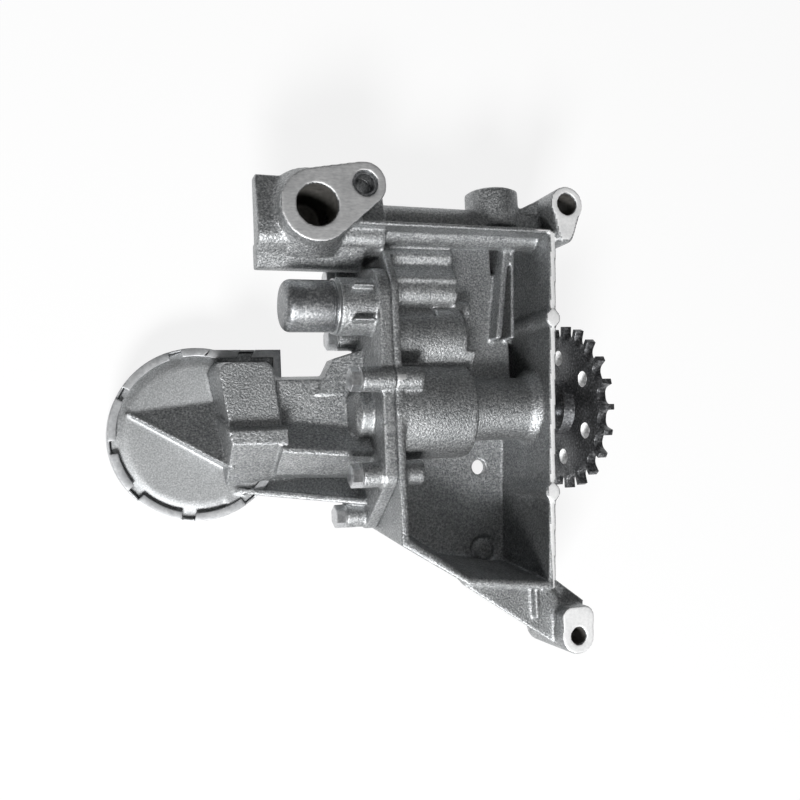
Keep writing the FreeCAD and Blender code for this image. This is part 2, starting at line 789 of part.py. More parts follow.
# Cover casting with the pickup arm

def strainer_prism(name, low, length, grow):
    """The strainer's outline, a circle with one square corner, as an upright block."""
    reach = "strainer_radius + (%s)" % grow
    disc = cylinder(name + "_disc", "z", ("strainer_x", "strainer_y", low), reach, length)
    square = box(name + "_square", ("strainer_x", "strainer_y", low),
                 ("strainer_x + " + reach, "corner_y + (%s)" % grow, "(%s) + (%s)" % (low, length)))
    return join(name, [disc, square])


def fin(name, start, end, thick, low, start_high, end_high):
    """A thin upright web between two plan points, with a sloping top edge."""
    a = FreeCAD.Vector(value(start[0]), value(start[1]), 0)
    b = FreeCAD.Vector(value(end[0]), value(end[1]), 0)
    side = FreeCAD.Vector(a.y - b.y, b.x - a.x, 0).normalize() * value(thick)
    up = FreeCAD.Vector(0, 0, 1)
    foot = up * value(low)
    corners = [a + foot, b + foot, b + up * value(end_high), a + up * value(start_high)]
    corners = [corner - side * 0.5 for corner in corners]
    web = doc.addObject("Part::Feature", name)
    web.Shape = Part.Face(Part.makePolygon(corners + corners[:1])).extrude(side)
    return web


def pickup_solids():
    plate = strainer_prism("plate", "plate_z - plate_thick", "plate_thick", "-sheet_thick - open_gap")
    hood = loft("hood", "XY", "plate_z - 1", [
        ("hood_left + 7", "hood_low_y - 1.5", "3"),
        ("hood_right + 2", "hood_low_y - 1.5", "3"),
        ("hood_right + 1", "hood_high_y + 1.5", "5"),
        ("hood_left - 1", "hood_high_y + 1.5", "5"),
    ], "hood_z", [
        ("hood_left + 6", "hood_low_y + 8", "4"),
        ("hood_right", "hood_low_y + 8", "4"),
        ("hood_right - 3.5", "hood_high_y - 0.5", "4"),
        ("hood_left + 1", "hood_high_y - 0.5", "4"),
    ])
    crown = loft("hood_crown", "XY", "plate_z + 2", [
        ("hood_left + 5.2", "arm_y - arm_half * 1.12"),
        ("hood_right + 3", "arm_y - arm_half * 0.96"),
        ("hood_right + 3", "arm_y + arm_half * 1.08"),
        ("hood_left + 1.6", "arm_y + arm_half * 1.08"),
    ], "hood_z + 5", [
        ("hood_left + 5", "arm_y + arm_half * 0.16"),
        ("hood_right + 0.8", "arm_y + arm_half * 0.12"),
        ("hood_right + 0.8", "arm_y + arm_half * 0.576"),
        ("hood_left + 3.6", "arm_y + arm_half * 0.576"),
    ])
    arm = loft("arm", "YZ", "hood_right - 2", [
        ("arm_y - arm_half * 0.92", "arm_low_z"),
        ("arm_y + arm_half * 1.2", "arm_low_z"),
        ("arm_y + arm_half * 1.08", "arm_side_z"),
        ("arm_y + arm_half * 0.04", "arm_high_z"),
        ("arm_y - arm_half * 0.12", "arm_high_z"),
        ("arm_y - arm_half * 0.8", "arm_side_z"),
    ], cover_face + " + 1", [
        ("arm_y - arm_half * 1.08", "arm_low_z"),
        ("arm_y + arm_half * 1.04", "arm_low_z"),
        ("arm_y + arm_half * 0.96", "arm_side_z"),
        ("arm_y - arm_half * 0.24", "arm_high_z"),
        ("arm_y - arm_half * 0.4", "arm_high_z"),
        ("arm_y - arm_half", "arm_side_z"),
    ])
    gusset = prism("arm_gusset", "XY", "gusset_z", "gusset_height", [
        ("gusset_left", "gusset_low_y"),
        (cover_face + " + 1", "gusset_low_y"),
        (cover_face + " + 1", "gusset_high_y"),
        ("gusset_tip_x", "gusset_tip_y"),
    ])
    web = loft("arm_web", "YZ", "hood_right - 2", [
        ("arm_y", "gusset_z"), ("arm_y + arm_half * 2.28", "gusset_z"),
        ("arm_y + arm_half * 2.12", "arm_z"), ("arm_y", "arm_z"),
    ], cover_face + " + 1", [
        ("arm_y", "gusset_z"), ("arm_y + arm_half * 2.28", "gusset_z"),
        ("arm_y + arm_half * 2.12", "arm_z + 2"), ("arm_y", "arm_z + 2"),
    ])
    return [
        plate, hood, crown, arm, gusset, web,
        fin("plate_fin", ("strainer_x - 26", "plate_fin_y"), ("hood_left + 5.5", "plate_fin_end_y"),
            "plate_fin_thick", "plate_z - 1", "plate_z + 0.5", "hood_z - plate_fin_drop"),
        fin("lower_fin", ("hood_left + 8", "lower_fin_y"), (cover_face + " + 1", "lower_fin_end_y"),
            "web_thick * 0.8", "plate_z - 4", "plate_z", "lower_fin_z"),
        prism("lower_shelf", "XY", "plate_z - 4", "3", [
            ("hood_right - 16", "arm_y - arm_half * 1.28"),
            (cover_face + " + 1", "arm_y - arm_half * 1.832"),
            (cover_face + " + 1", "arm_y - arm_half * 0.44"),
            ("hood_right - 16", "arm_y - arm_half * 0.44"),
        ]),
    ]


def cover_solids():
    face = hull("cover_face", "YZ", cover_face, "cover_thick", [
        ("tray_screw_y", "tray_screw_z", "flange_round"),
        ("0", "-1.5", case_radius + " + 0.35"),
        (block_screw_y, "block_screw_z", "flange_round"),
        ("relief_y + 3", "relief_z", "12"),
        ("arm_screw_y", "arm_screw_z", "flange_round"),
    ])
    solids = [face]
    for number, (y, z) in enumerate(screws):
        solids.append(cylinder("cover_boss_%d" % number, "x", (head_seat, y, z), "screw_boss",
                               "joint_x - (" + head_seat + ")"))
    dome_radius = "shaft_radius + dome_wall"
    dome_start = cover_face + " - dome_length"
    solids += [
        cylinder("shaft_dome", "x", (dome_start, "0", "0"), dome_radius, "dome_length + 1"),
        cone("shaft_dome_tip", "x", (dome_start + " - dome_tip", "0", "0"), "shaft_radius + 1", dome_radius,
             "dome_tip"),
        cylinder("relief_boss", "x", (cap_seat, "relief_y", "relief_z"), "cap_thread + relief_boss_wall",
                 cover_face + " + 1 - (" + cap_seat + ")"),
        box("relief_bed", (cap_seat + " + 3", "relief_y - 4", "-16"),
            (cover_face + " + 1", "relief_y + 5", "relief_z")),
    ]
    return solids


def cover_cuts():
    tail = cover_face + " + cover_thick - 1 - shaft_tail"
    tools = [
        cylinder("rear_bush_seat", "x", (tail, "0", "0"), bush_radius + " + seat_gap", "shaft_tail + 2"),
        cylinder("piston_bore", "x", (cap_seat + " - 1", "relief_y", "relief_z"), "piston_radius + run_gap",
                 "30"),
        cylinder("cap_socket", "x", (cap_seat + " - 1", "relief_y", "relief_z"), "cap_thread + seat_gap",
                 "thread_length + 1.3"),
        cylinder("relief_drain_cut", "y", (cover_face + " - 4.5", "relief_y - 20", "relief_z - 3"),
                 "relief_drain", "20"),
        cylinder("arm_bore_cut", "x", ("hood_left + 12", "arm_y + 1", "arm_z - 2"), "arm_bore", "100"),
        loft("hood_hollow", "XY", "plate_z - plate_thick - 1", [
            ("hood_left + hood_wall", "hood_low_y + hood_wall"),
            ("hood_right - hood_wall", "hood_low_y + hood_wall"),
            ("hood_right - hood_wall", "hood_high_y - hood_wall"),
            ("hood_left + hood_wall", "hood_high_y - hood_wall"),
        ], "hood_z - hood_wall", [
            ("hood_left + hood_wall + 1.5", "hood_low_y + hood_wall + 4"),
            ("hood_right - hood_wall - 1.5", "hood_low_y + hood_wall + 4"),
            ("hood_right - hood_wall - 1.5", "hood_high_y - hood_wall - 2"),
            ("hood_left + hood_wall + 1.5", "hood_high_y - hood_wall - 2"),
        ]),
    ]
    for number, (y, z) in enumerate(screws):
        tools.append(cylinder("cover_hole_%d" % number, "x", (head_seat + " - 1", y, z),
                              "screw_radius + seat_gap", "screw_grip + cover_thick + 2"))
    tools += pin_cylinders("cover_pin_hole", "seat_gap")
    lip_top = "2 * open_gap + sheet_thick"
    tools.append(cut("lip_space", strainer_prism("lip_outer", "plate_z", lip_top, "open_gap"),
                     [strainer_prism("lip_inner", "plate_z - 1", lip_top + " + 2",
                                     "-sheet_thick - tab_reach - open_gap")]))
    tools.append(cut("wall_space", strainer_prism("wall_outer", "plate_z - plate_thick - 1",
                                                  "plate_thick + 2", "open_gap"),
                     [strainer_prism("wall_inner", "plate_z - plate_thick - 2", "plate_thick + 4",
                                     "-sheet_thick - open_gap")]))
    return tools


def cover():
    casting = join("cover_casting", cover_solids() + pickup_solids())
    return node("pump_cover", cut("pump_cover", casting, cover_cuts()))


# Strainer

def strainer():
    low = "strainer_low_z"
    rim = "plate_z + open_gap"
    height = "plate_z + open_gap - strainer_low_z"
    shell = cut("bowl_shell", strainer_prism("bowl_outer", low, height + " + sheet_thick", "0"), [
        strainer_prism("bowl_inner", low + " + sheet_thick", height + " - sheet_thick", "-sheet_thick"),
        strainer_prism("bowl_top", "plate_z - 2", "8", "-sheet_thick - tab_reach"),
        cylinder("bowl_mouth", "z", ("strainer_x", "strainer_y", low + " - 1"), "mouth_radius", "4"),
    ])
    notches = []
    for number, angle in enumerate((12, 58, 104, 150, 187, 222, 262, 306)):
        notch = box("notch_%d" % number, ("0", "-2.5", rim), ("strainer_radius + 14", "2.5", rim + " + 3"))
        notch.Placement.Rotation = FreeCAD.Rotation(FreeCAD.Vector(0, 0, 1), angle)
        bind(notch, "Placement.Base.x", "strainer_x + 2.5 * sin(%d)" % angle)
        bind(notch, "Placement.Base.y", "strainer_y - 2.5 * cos(%d)" % angle)
        notches.append(notch)
    node("strainer_bowl", cut("strainer_bowl", shell, notches))
    screen_centre = ("strainer_x", "strainer_y", low + " + sheet_thick + seat_gap")
    screen = cylinder("strainer_screen", "z", screen_centre, "strainer_radius - sheet_thick - open_gap",
                      "screen_thick")
    node("strainer_screen", screen)


# Relief valve

def relief_valve():
    line = ("relief_y", "relief_z")
    piston_back = relief_seat + " - piston_length"
    node("relief_piston", turned("relief_piston", [
        (relief_seat, "0"),
        (relief_seat, "piston_radius - 0.8"),
        (relief_seat + " - 0.8", "piston_radius"),
        (piston_back, "piston_radius"),
        (piston_back, "spring_radius + spring_wire + 0.4"),
        (relief_seat + " - piston_floor", "spring_radius + spring_wire + 0.4"),
        (relief_seat + " - piston_floor", "0"),
    ], line))
    cap_end = cap_seat + " - cap_length"
    node("relief_cap", turned("relief_cap", [
        (cap_end, "0"),
        (cap_end, "cap_radius - cap_round"),
        (cap_end + " + cap_round * 0.29", "cap_radius - cap_round * 0.29"),
        (cap_end + " + cap_round", "cap_radius"),
        (cap_seat + " - cap_seal", "cap_radius"),
        (cap_seat + " - cap_seal", "cap_thread"),
        (cap_seat + " + thread_length", "cap_thread"),
        (cap_seat + " + thread_length", "spring_radius + spring_wire + 0.5"),
        (cap_end + " + cap_floor", "spring_radius + spring_wire + 0.5"),
        (cap_end + " + cap_floor", "0"),
    ], line))
    node("relief_cap_seal", turned("relief_cap_seal", [
        (cap_seat + " - cap_seal", "cap_thread + seat_gap"),
        (cap_seat, "cap_thread + seat_gap"),
        (cap_seat, "cap_thread + relief_boss_wall - 0.4"),
        (cap_seat + " - cap_seal", "cap_thread + relief_boss_wall - 0.4"),
    ], line))
    spring(line, cap_end + " + cap_floor + spring_wire + open_gap",
           relief_seat + " - piston_floor - spring_wire - open_gap")


def spring(line, first, last):
    """A coil between two places on a line along X, built from short straight lengths."""
    start = value(first)
    length = value(last) - start
    coil = value("spring_radius")
    wire = value("spring_wire")
    turns = int(value("spring_turns"))
    steps = 12 * turns
    sections = []
    for step in range(steps + 1):
        turn = 2 * math.pi * step * turns / steps
        out = FreeCAD.Vector(0, math.cos(turn), math.sin(turn))
        along = FreeCAD.Vector(1, 0, 0)
        corners = []
        for side in range(6):
            angle = math.pi * side / 3
            radius = coil + wire * math.cos(angle)
            advance = length * step / steps + wire * math.sin(angle)
            corners.append(out * radius + along * advance)
        sections.append(Part.makePolygon(corners + corners[:1]))
    coil_body = doc.addObject("Part::Feature", "relief_spring")
    coil_body.Shape = Part.makeLoft(sections, True, True)
    place = FreeCAD.Vector(start, value(line[0]), value(line[1]))
    coil_body.Placement = FreeCAD.Placement(place, FreeCAD.Rotation())
    node("relief_spring", coil_body)


# Rotor set

def inner_rotor_wire(lobes, circle, roller, offset):
    """The outline that rolls inside the outer rotor: an even distance inside a trochoid."""
    steps = 24 * lobes
    points = []
    for step in range(steps):
        turn = 2 * math.pi * (step / steps + 0.5 / lobes)
        ratio = circle / (offset * (lobes + 1))
        lean = math.atan2(-math.sin(lobes * turn), ratio - math.cos(lobes * turn))
        y = circle * math.cos(turn) - roller * math.cos(turn + lean) - offset * math.cos((lobes + 1) * turn)
        z = circle * math.sin(turn) - roller * math.sin(turn + lean) - offset * math.sin((lobes + 1) * turn)
        points.append(FreeCAD.Vector(0, y, z))
    arcs = [Part.Arc(points[i], points[i + 1], points[(i + 2) % steps]) for i in range(0, steps, 2)]
    return Part.Wire([arc.toShape() for arc in arcs])


def rotors():
    start = value("joint_x + side_gap")
    width = value("rotor_width")
    lobes = int(value("inner_lobes"))
    wire = inner_rotor_wire(lobes, value("lobe_circle"), value("lobe_radius + lobe_gap"),
                            value("rotor_offset"))
    blank = Part.Face(wire).extrude(FreeCAD.Vector(width, 0, 0))
    bore = Part.makeCylinder(value("shaft_radius + seat_gap"), width + 2, FreeCAD.Vector(-1, 0, 0),
                             FreeCAD.Vector(1, 0, 0))
    inner = doc.addObject("Part::Feature", "inner_rotor")
    middle = value("joint_x + rotor_width / 2") - start
    reach = value("pin_length / 2 + seat_gap")
    pin_hole = Part.makeCylinder(value("pin_radius + seat_gap"), 2 * reach,
                                 FreeCAD.Vector(middle, 0, -reach), FreeCAD.Vector(0, 0, 1))
    inner.Shape = blank.cut(bore).cut(pin_hole)
    inner.Placement = FreeCAD.Placement(FreeCAD.Vector(start, 0, 0), FreeCAD.Rotation())
    node("inner_rotor", inner)

    disc = cylinder("outer_disc", "x", ("joint_x + side_gap", "rotor_offset", "0"),
                    "outer_rotor_radius", "rotor_width")
    hollow = cylinder("outer_hollow", "x", ("joint_x + side_gap - 1", "rotor_offset", "0"),
                      "lobe_circle - lobe_radius + 2 * rotor_offset + lobe_gap", "rotor_width + 2")
    rollers = []
    for number in range(lobes + 1):
        angle = 360.0 * number / (lobes + 1)
        centre = ("joint_x + side_gap - 2",
                  "rotor_offset - lobe_circle * cos(%f)" % angle,
                  "lobe_circle * sin(%f)" % angle)
        rollers.append(cylinder("lobe_%d" % number, "x", centre, "lobe_radius", "rotor_width + 4"))
    node("outer_rotor", cut("outer_rotor", disc, [cut("outer_space", hollow, rollers)]))


# Shaft, bushes and sprocket

def pin_cylinder(name, grow):
    """The cross pin that drives the inner rotor, or its hole."""
    return cylinder(name, "z", ("joint_x + rotor_width / 2", "0", "-(pin_length / 2) - (%s)" % grow),
                    "pin_radius + (%s)" % grow, "pin_length + 2 * (%s)" % grow)


def shaft_group():
    node("rotor_pin", pin_cylinder("rotor_pin", "0"))
    rear = "joint_x - shaft_tail + 1.5"
    shoulder = "chain_x - tooth_width / 2 - hub_length"
    end = "chain_x + tooth_width / 2"
    blank = turned("shaft_blank", [
        (rear, "0"),
        (rear, "shaft_radius - 0.8"),
        (rear + " + 0.8", "shaft_radius"),
        (shoulder, "shaft_radius"),
        (shoulder, "spigot_radius"),
        (end, "spigot_radius"),
        (end, "nose_bolt + seat_gap"),
        (end + " - nose_depth - 1", "nose_bolt + seat_gap"),
        (end + " - nose_depth - 1", "0"),
    ])
    node("drive_shaft", cut("drive_shaft", blank, [pin_cylinder("shaft_pin_hole", "seat_gap")]))
    node("front_bush", turned("front_bush", [
        (chamber_end + " + 1", "shaft_radius + run_gap"),
        (chamber_end + " + 1", bush_radius),
        (wall_at("0") + " + wall_thick", bush_radius),
        (wall_at("0") + " + wall_thick", "shaft_radius + run_gap"),
    ]))
    node("rear_bush", turned("rear_bush", [
        ("joint_x - shaft_tail", "shaft_radius + run_gap"),
        ("joint_x - shaft_tail", bush_radius),
        ("joint_x - open_gap", bush_radius),
        ("joint_x - open_gap", "shaft_radius + run_gap"),
    ]))


def sprocket():
    body = doc.addObject("PartDesign::Body", "sprocket")
    plane = [f for f in body.Origin.OriginFeatures if f.Role == "YZ_Plane"][0]

    def sketch_at(name, offset):
        sketch = body.newObject("Sketcher::SketchObject", name)
        sketch.AttachmentSupport = (plane, [""])
        sketch.MapMode = "FlatFace"
        bind(sketch, "AttachmentOffset.Base.z", offset)
        return sketch

    def ring(sketch, u, v, radius):
        centre = FreeCAD.Vector(value(u), value(v), 0)
        index = sketch.addGeometry(Part.Circle(centre, FreeCAD.Vector(0, 0, 1), value(radius)), False)
        fix_point(sketch, index, 3, u, v)
        fix_radius(sketch, index, radius)

    def pattern(name, feature, count):
        doc.recompute()
        copies = body.newObject("PartDesign::PolarPattern", name)
        copies.Originals = [feature]
        copies.Axis = ([f for f in body.Origin.OriginFeatures if f.Role == "X_Axis"][0], [""])
        copies.Angle = 360
        bind(copies, "Occurrences", count)
        body.Tip = copies
        doc.recompute()

    blank = sketch_at("blank_sketch", "chain_x - tooth_width / 2")
    ring(blank, "0", "0", tip_radius)
    pad = body.newObject("PartDesign::Pad", "blank")
    pad.Profile = blank
    bind(pad, "Length", "tooth_width")

    hub_sketch = sketch_at("hub_sketch", "chain_x - tooth_width / 2 - hub_length")
    ring(hub_sketch, "0", "0", "sprocket_hub")
    hub = body.newObject("PartDesign::Pad", "hub")
    hub.Profile = hub_sketch
    bind(hub, "Length", "hub_length")
    doc.recompute()

    bore_sketch = sketch_at("bore_sketch", "chain_x - tooth_width / 2 - hub_length - 1")
    ring(bore_sketch, "0", "0", "spigot_radius + seat_gap")
    bore = body.newObject("PartDesign::Pocket", "bore")
    bore.Profile = bore_sketch
    bore.Reversed = True
    bind(bore, "Length", "tooth_width + hub_length + 2")
    doc.recompute()

    gap_sketch = sketch_at("gap_sketch", "chain_x - tooth_width / 2 - 1")
    draw_tooth_gap(gap_sketch)
    gap = body.newObject("PartDesign::Pocket", "tooth_gap")
    gap.Profile = gap_sketch
    gap.Reversed = True
    bind(gap, "Length", "tooth_width + 2")
    pattern("tooth_gaps", gap, "sprocket_teeth")

    window_sketch = sketch_at("window_sketch", "chain_x - tooth_width / 2 - 1")
    ring(window_sketch, "window_circle * cos(60)", "window_circle * sin(60)", "window_radius")
    window = body.newObject("PartDesign::Pocket", "window")
    window.Profile = window_sketch
    window.Reversed = True
    bind(window, "Length", "tooth_width + 2")
    pattern("window_ring", window, "windows")
    return node("sprocket", body)


def draw_tooth_gap(sketch):
    """The space between two teeth: a roller seat with flanks that open outwards."""
    phase = "gap_phase"
    reach = "(%s + 2)" % tip_radius
    deep = "((%s) - roller_radius)" % chain_radius
    mouth = "roller_radius * 1.35"
    corners = []
    for along, across, radius in (
            (deep, "-roller_radius", "roller_radius * 0.9"),
            (deep, "roller_radius", "roller_radius * 0.9"),
            (reach, mouth, None),
            (reach, "-" + mouth, None)):
        u = "%s * cos(%s) - (%s) * sin(%s)" % (along, phase, across, phase)
        v = "%s * sin(%s) + (%s) * cos(%s)" % (along, phase, across, phase)
        corners.append((u, v, radius) if radius else (u, v))
    corners.reverse()
    draw_outline(sketch, corners)


def small_parts():
    end = "chain_x + tooth_width / 2"
    node("sprocket_washer", turned("sprocket_washer", [
        (end + " + seat_gap", "nose_bolt + 0.1"),
        (end + " + seat_gap", "spigot_radius + nose_washer_wall"),
        (end + " + nose_washer", "spigot_radius + nose_washer_wall"),
        (end + " + nose_washer", "nose_bolt + 0.1"),
    ]))
    seat = end + " + nose_washer + 2 * seat_gap"
    head = doc.addObject("Part::Prism", "nose_bolt_head")
    head.Polygon = 6
    head.Placement = FreeCAD.Placement(FreeCAD.Vector(), cylinder_turns["x"])
    bind(head, "Placement.Base.x", seat)
    bind(head, "Circumradius", "nose_flats / 2 / cos(30)")
    bind(head, "Height", "nose_bolt * 1.4")
    shank = cylinder("nose_bolt_shank", "x", (end + " - nose_depth", "0", "0"), "nose_bolt",
                     "nose_depth + 2.6")
    node("sprocket_bolt", join("sprocket_bolt", [head, shank]))
    node("outlet_sleeve", cut("outlet_sleeve",
         cylinder("sleeve_outer", "z", ("ear_x", "ear_y", "mount_z - sleeve_depth + 0.05"),
                  "sleeve_radius", "sleeve_depth - 0.05 - 1"),
         [cylinder("sleeve_inner", "z", ("ear_x", "ear_y", "mount_z - sleeve_depth - 1"),
                   "sleeve_radius - sleeve_wall", "sleeve_depth + 2")]))
    node("gallery_plug", cut("gallery_plug",
         cylinder("plug_outer", "y", ("port_x", "port_top_y - plug_depth + 0.05", "gallery_z"),
                  "plug_radius", "plug_depth - 0.5"),
         [cylinder("plug_inner", "y", ("port_x", "port_top_y - plug_depth + 1.5", "gallery_z"),
                   "plug_radius - 1.4", "plug_depth")]))


def cover_screws():
    solids = []
    for number, (y, z) in enumerate(screws):
        shank = cylinder("shank_%d" % number, "x", (head_seat + " - 0.5", y, z), "screw_radius",
                         "screw_grip + cover_thick + screw_bite - 1")
        washer = cylinder("head_washer_%d" % number, "x", (head_seat + " - seat_gap - head_flange", y, z),
                          "screw_flats / 2 + head_flange", "head_flange")
        head = doc.addObject("Part::Prism", "head_%d" % number)
        head.Polygon = 6
        head.Placement = FreeCAD.Placement(FreeCAD.Vector(), cylinder_turns["x"])
        bind(head, "Placement.Base.x", head_seat + " - seat_gap - head_flange - screw_head + 0.5")
        bind(head, "Placement.Base.y", y)
        bind(head, "Placement.Base.z", z)
        bind(head, "Circumradius", "screw_flats / 2 / cos(30)")
        bind(head, "Height", "screw_head")
        solids.append(join("screw_%d" % number, [head, washer, shank]))
    group = doc.addObject("Part::Compound", "cover_screws")
    group.Links = solids
    node("cover_screws", group)


def cover_pins():
    group = doc.addObject("Part::Compound", "cover_pins")
    group.Links = pin_cylinders("cover_pin", "0")
    node("cover_pins", group)


housing()
cover()
strainer()
relief_valve()
rotors()
shaft_group()
sprocket()
small_parts()
cover_screws()
cover_pins()
doc.recompute()

failed = [t.Name for t in doc.Objects if "Invalid" in t.State or "Error" in t.State]
if failed:
    raise RuntimeError("These did not rebuild: " + ", ".join(failed))
for thing in nodes:
    if thing.Shape.isNull() or not thing.Shape.isValid():
        raise RuntimeError("%s has no valid shape" % thing.Label)
for thing in nodes:
    thing.Shape.exportStep("parts/%s.step" % thing.Label)
    print(thing.Label, len(thing.Shape.Solids), round(thing.Shape.Volume, 1))
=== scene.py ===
import math

import bmesh
import bpy
from mathutils import Matrix, Vector


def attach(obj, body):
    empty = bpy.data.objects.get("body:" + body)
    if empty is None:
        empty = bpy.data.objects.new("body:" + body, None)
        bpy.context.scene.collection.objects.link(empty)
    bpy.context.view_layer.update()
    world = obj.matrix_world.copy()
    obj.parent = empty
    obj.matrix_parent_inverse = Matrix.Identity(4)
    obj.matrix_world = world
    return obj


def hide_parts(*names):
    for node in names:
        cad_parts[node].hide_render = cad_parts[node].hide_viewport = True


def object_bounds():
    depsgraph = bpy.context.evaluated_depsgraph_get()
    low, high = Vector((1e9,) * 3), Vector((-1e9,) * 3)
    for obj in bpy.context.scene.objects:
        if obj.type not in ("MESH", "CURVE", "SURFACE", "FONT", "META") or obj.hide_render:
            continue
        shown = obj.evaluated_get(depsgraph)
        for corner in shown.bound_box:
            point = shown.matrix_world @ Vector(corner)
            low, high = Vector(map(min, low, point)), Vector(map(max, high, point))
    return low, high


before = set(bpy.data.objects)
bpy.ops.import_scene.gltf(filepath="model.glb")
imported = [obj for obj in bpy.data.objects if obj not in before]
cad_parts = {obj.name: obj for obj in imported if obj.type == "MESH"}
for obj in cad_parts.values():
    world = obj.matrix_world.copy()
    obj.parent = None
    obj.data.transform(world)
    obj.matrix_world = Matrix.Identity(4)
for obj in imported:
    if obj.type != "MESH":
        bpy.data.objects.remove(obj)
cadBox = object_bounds()
mm = 0.001
print("frame loaded:", len(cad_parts), "nodes")


# Colours and nodes

def toLinear(hexColour):
    channels = []
    for start in (0, 2, 4):
        c = int(hexColour[start:start + 2], 16) / 255
        channels.append(c / 12.92 if c <= 0.04045 else ((c + 0.055) / 1.055) ** 2.4)
    return (*channels, 1.0)


def addNode(tree, kind, links=None, stops=None, **settings):
    # a setting is a property of the node or, failing that, the default of the socket with its name
    node = tree.nodes.new("ShaderNode" + kind)
    for name, setting in settings.items():
        if hasattr(node, name):
            setattr(node, name, setting)
        else:
            node.inputs[name.replace("_", " ")].default_value = setting
    for position, colour in (stops or [])[1:-1]:
        node.color_ramp.elements.new(position)
    for element, (position, colour) in zip(node.color_ramp.elements if stops else [], stops or []):
        element.position = position
        element.color = toLinear(colour)
    for socket, source in (links or {}).items():
        tree.links.new(source, node.inputs[socket])
    return node


def startMaterial(name):
    material = bpy.data.materials.new(name)
    material.use_nodes = True
    tree = material.node_tree
    tree.nodes.clear()
    place = addNode(tree, "TexCoord").outputs["Object"]
    return material, tree, place


def finishMaterial(tree, shader):
    addNode(tree, "OutputMaterial", {"Surface": shader.outputs[0]})


def makeMetal(name, facts):
    # facts: colours along the mixed grain and patches, roughness range, sizes of both and the grain's
    # depth in mm; optional: stretch of the grain, its detail and strength, share of the patches, metallic
    material, tree, place = startMaterial(name)
    stretched = addNode(tree, "Mapping", {"Vector": place}, Scale=facts.get("stretch", (1, 1, 1)))
    grain = addNode(tree, "TexNoise", {"Vector": stretched.outputs[0]}, Scale=1000 / facts["grainMm"],
                    Detail=facts.get("detail", 3.0), Roughness=0.6)
    patches = addNode(tree, "TexNoise", {"Vector": place}, Scale=1000 / facts["patchMm"], Detail=2.0)
    mixed = addNode(tree, "Mix", {"A": grain.outputs["Fac"], "B": patches.outputs["Fac"]}, data_type="FLOAT",
                    Factor=facts.get("patchShare", 0.35))
    colour = addNode(tree, "ValToRGB", {"Fac": mixed.outputs[0]}, stops=facts["colours"])
    # the noise lies mostly between 0.3 and 0.7
    rough = addNode(tree, "MapRange", {"Value": mixed.outputs[0]}, From_Min=0.3, From_Max=0.7,
                    To_Min=facts["rough"][0], To_Max=facts["rough"][1])
    bump = addNode(tree, "Bump", {"Height": grain.outputs["Fac"]}, Strength=facts.get("strength", 0.5),
                   Distance=facts["depthMm"] * mm)
    shader = addNode(tree, "BsdfPrincipled", {
        "Base Color": colour.outputs[0], "Roughness": rough.outputs[0], "Normal": bump.outputs[0]},
        Metallic=facts.get("metallic", 1.0))
    finishMaterial(tree, shader)
    return material


# Materials

sandCast = {
    # sand-cast aluminium alloy, shot blasted: matt, with a grain that sparkles where light falls on it;
    # the grain is drawn about twice as coarse as blasting leaves it, so that it shows at this size
    "colours": [(0.36, "888a8c"), (0.5, "a9abac"), (0.64, "cfd0d1")],
    "rough": (0.46, 0.58), "grainMm": 0.78, "patchMm": 14.0, "depthMm": 0.28,
    "strength": 1.0, "patchShare": 0.15,
}
plateFace = {
    # the strainer's round plate: the same casting, drawn paler
    "colours": [(0.36, "a3a5a6"), (0.5, "b9bbbc"), (0.64, "d2d3d4")],
    "rough": (0.6, 0.68), "grainMm": 0.6, "patchMm": 20.0, "depthMm": 0.12,
    "strength": 0.5, "patchShare": 0.2,
}
paintedBoreShade = {
    # inside of the outlet and of the bolt holes: painted shade, a dark colour that stands in for the shade
    # deep in the holes
    "colours": [(0.35, "5a5855"), (0.65, "7c7a76")],
    "rough": (0.4, 0.6), "grainMm": 1.5, "patchMm": 8.0, "depthMm": 0.05, "metallic": 0.6,
}
milled = {
    # joint face cut with a face mill: short scratches in the direction of the feed
    "colours": [(0.3, "d2d3d4"), (0.6, "ececec")],
    "rough": (0.55, 0.65), "grainMm": 0.7, "patchMm": 6.0, "depthMm": 0.06, "stretch": (0.35, 1, 1),
}
spotFaced = {
    # rims and boss faces: cut last, paler than the joint face, because the close feed marks scatter the
    # light; that scatter is drawn as a share of matt surface
    "colours": [(0.3, "e6e7e7"), (0.6, "f8f8f8")],
    "rough": (0.55, 0.68), "grainMm": 0.9, "patchMm": 8.0, "depthMm": 0.05,
    "strength": 0.4, "metallic": 0.35,
}
zincSheet = {
    # pressed steel sheet with a clear zinc coat
    "colours": [(0.35, "bfc1c3"), (0.65, "dcddde")],
    "rough": (0.5, 0.6), "grainMm": 1.2, "patchMm": 11.0, "depthMm": 0.03,
}
wovenWire = {
    # fine stainless wire cloth
    "colours": [(0.35, "7c7e81"), (0.65, "a3a5a8")],
    "rough": (0.28, 0.4), "grainMm": 1.0, "patchMm": 9.0, "depthMm": 0.01,
}
hardenedSteel = {
    # fine-blanked and case-hardened wheel: dark grey scale with a light, worn grain
    "colours": [(0.35, "4a4b4d"), (0.55, "7a7b7d"), (0.68, "b8b9ba")],
    "rough": (0.4, 0.58), "grainMm": 1.0, "patchMm": 9.0, "depthMm": 0.1,
    "strength": 0.7, "patchShare": 0.2,
}
groundSteel = {
    # ground shaft and pins: fine rings round the axis
    "colours": [(0.35, "8e9093"), (0.65, "b4b6b8")],
    "rough": (0.2, 0.32), "grainMm": 0.6, "patchMm": 10.0, "depthMm": 0.01, "stretch": (4, 0.4, 0.4),
}
